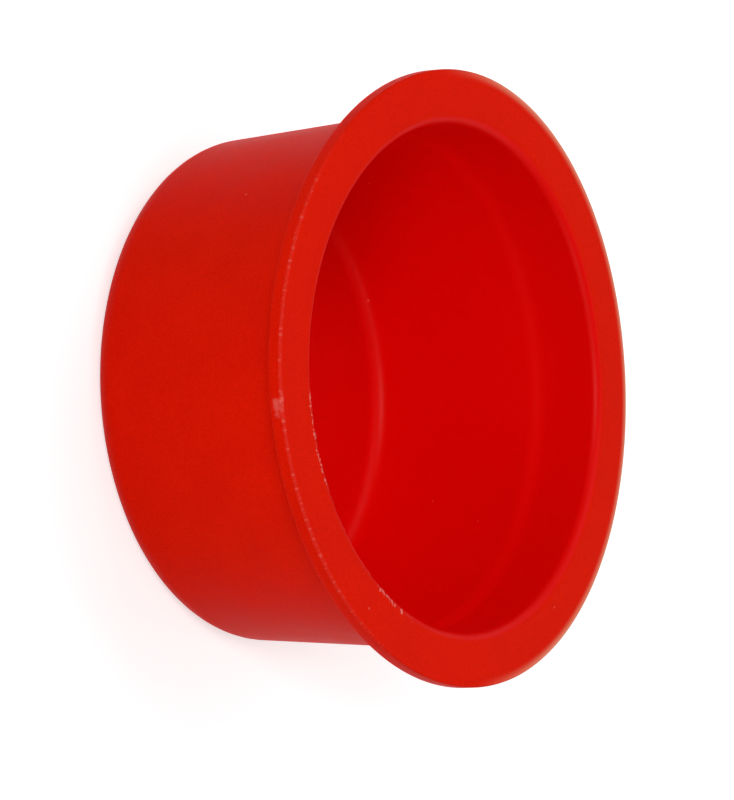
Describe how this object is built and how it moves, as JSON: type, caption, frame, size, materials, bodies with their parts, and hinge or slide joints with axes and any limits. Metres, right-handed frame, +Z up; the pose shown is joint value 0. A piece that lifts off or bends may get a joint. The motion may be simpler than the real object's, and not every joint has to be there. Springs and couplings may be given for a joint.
{
  "type": "flanged tapered protection cap",
  "caption": "Soft moulded cup-shaped cap with a tapered wall, closed end and wide flat flange; pushes over a tube end or into a port to keep dirt out.",
  "frame": {"origin": "centre of the closed end's underside", "axes": "+Z runs up the cap's axis, from the closed end to the open mouth; +X and +Y are any two directions square to it, because the cap is round"},
  "size_m": [0.06, 0.06, 0.027],
  "materials": {
    "red_polyethylene": "satin moulded low-density polyethylene, signal red, slightly waxy, with fine mould grain"
  },
  "bodies": {
    "root": {"cap": "red_polyethylene"}
  },
  "joints": []
}
